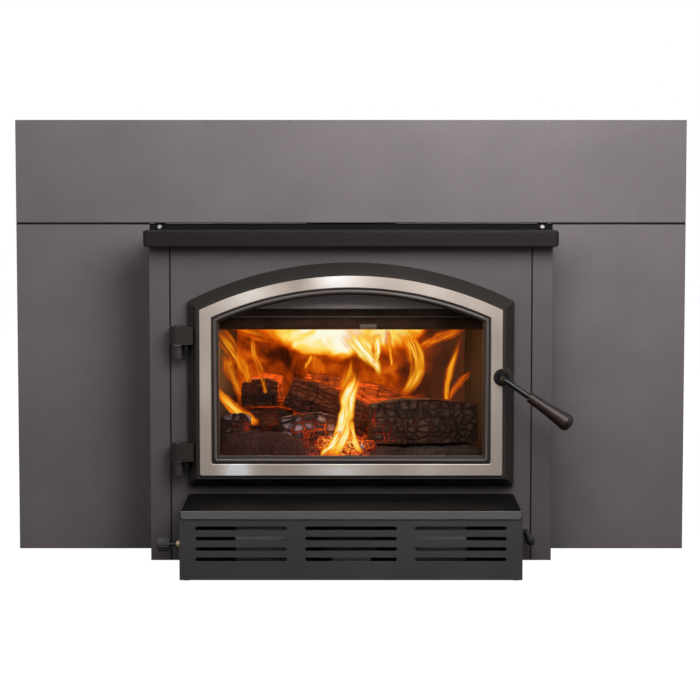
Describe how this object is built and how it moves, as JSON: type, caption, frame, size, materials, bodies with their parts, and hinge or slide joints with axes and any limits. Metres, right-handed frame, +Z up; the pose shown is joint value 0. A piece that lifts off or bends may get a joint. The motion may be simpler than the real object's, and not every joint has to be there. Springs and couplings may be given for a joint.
{
  "type": "wood-burning fireplace insert",
  "caption": "Wood-burning fireplace insert with a steel surround, an arched glass door with bright trim, a cast ledge and a fan housing under the door.",
  "frame": {"origin": "on the hearth under the base pan, in the middle, at the face of the wall that the surround closes against", "axes": "+X to the right seen from the room, +Y back into the fireplace, +Z up; the front faces -Y"},
  "size_m": [1.118, 0.6896, 0.721],
  "materials": {
    "surround_steel": "satin grey powder paint with a faint brushed sheen",
    "body_steel": "matte charcoal stove paint",
    "face_paint": "matte charcoal stove paint on steel plate",
    "black_cast": "matte black stove paint on casting",
    "trim_nickel": "brushed nickel plate",
    "fastener_steel": "bright zinc plate",
    "dark_fittings": "satin black",
    "grip_wood": "dark stained turned hardwood, satin lacquer",
    "window_glass": "clear ceramic glass, faintly amber",
    "gasket_fibre": "woven glass fibre",
    "firebox_plate": "heat-greyed mild steel plate with soot",
    "tube_steel": "heat-tinted stainless tube",
    "fire_brick": "soot-stained refractory brick",
    "blower_black": "satin black enamel",
    "rubber_feet": "moulded black rubber",
    "fan_steel": "pressed sheet, plain",
    "motor_steel": "satin grey",
    "shaft_steel": "ground bright",
    "knob_plastic": "black moulding",
    "air_control_steel": "plain steel rod",
    "air_pull_black": "black heat-proof moulding",
    "charred_wood": "charred split firewood",
    "ash": "loose ash and embers"
  },
  "bodies": {
    "stove": {"air_channels": "firebox_plate", "air_intake_box": "air_pull_black", "air_tubes": "tube_steel", "airwash_deflector": "firebox_plate", "back_bricks": "fire_brick", "baffle_boards": "fire_brick", "base_pan": "body_steel", "blower_base": "blower_black", "blower_cover": "blower_black", "blower_feet": "rubber_feet", "blower_lid": "blower_black", "blower_motor": "motor_steel", "cord_gland": "rubber_feet", "ember_bed": "ash", "face_plate": "face_paint", "firebox_back_wall": "firebox_plate", "firebox_floor": "firebox_plate", "firebox_left_wall": "firebox_plate", "firebox_right_wall": "firebox_plate", "firebox_top_plate": "firebox_plate", "floor_bricks": "fire_brick", "flue_collar": "black_cast", "flue_collar_bolts": "fastener_steel", "hinge_barrels": "dark_fittings", "hinge_washers": "fastener_steel", "jacket_back": "body_steel", "jacket_left_side": "body_steel", "jacket_right_side": "body_steel", "jacket_top": "body_steel", "knob_collar": "shaft_steel", "ledge": "black_cast", "scroll_housings": "fan_steel", "side_bricks": "fire_brick", "speed_control": "knob_plastic", "split_logs": "charred_wood", "surround_bolts": "fastener_steel", "surround_hangers": "body_steel", "surround_left_panel": "surround_steel", "surround_right_panel": "surround_steel", "surround_screws": "fastener_steel", "surround_top_panel": "surround_steel"},
    "door": {"door_frame": "black_cast", "door_trim": "trim_nickel", "door_glass": "window_glass", "glass_gasket": "gasket_fibre", "glass_clips": "dark_fittings", "glass_clip_screws": "fastener_steel", "door_rope": "gasket_fibre", "hinge_pins": "dark_fittings"},
    "handle": {"handle_rod": "dark_fittings", "handle_grip": "grip_wood", "handle_washer": "dark_fittings", "latch_cam": "dark_fittings", "latch_nuts": "fastener_steel"},
    "air_control": {"air_rod": "air_control_steel", "air_handle": "air_pull_black"},
    "fan": {"fan_shaft": "shaft_steel", "fan_wheels": "fan_steel"},
    "knob": {"speed_knob": "knob_plastic"}
  },
  "joints": [
    {"name": "door_swing", "type": "hinge", "parent": "stove", "child": "door", "pos_m": [-0.28, -0.139, 0.25], "axis": [0, 0, -1], "range_deg": [0, 110]},
    {"name": "handle_turn", "type": "hinge", "parent": "door", "child": "handle", "pos_m": [0.244, -0.153, 0.304], "axis": [0, -1, 0], "range_deg": [0, 90]},
    {"name": "air_slide", "type": "slide", "parent": "stove", "child": "air_control", "axis": [0, -1, 0], "range_m": [0, 0.05]},
    {"name": "fan_spin", "type": "hinge", "parent": "stove", "child": "fan", "pos_m": [0, -0.201, 0.056], "axis": [1, 0, 0], "continuous": true},
    {"name": "knob_turn", "type": "hinge", "parent": "stove", "child": "knob", "pos_m": [-0.29, -0.245, 0.05], "axis": [-1, 0, 0], "range_deg": [0, 270]}
  ]
}
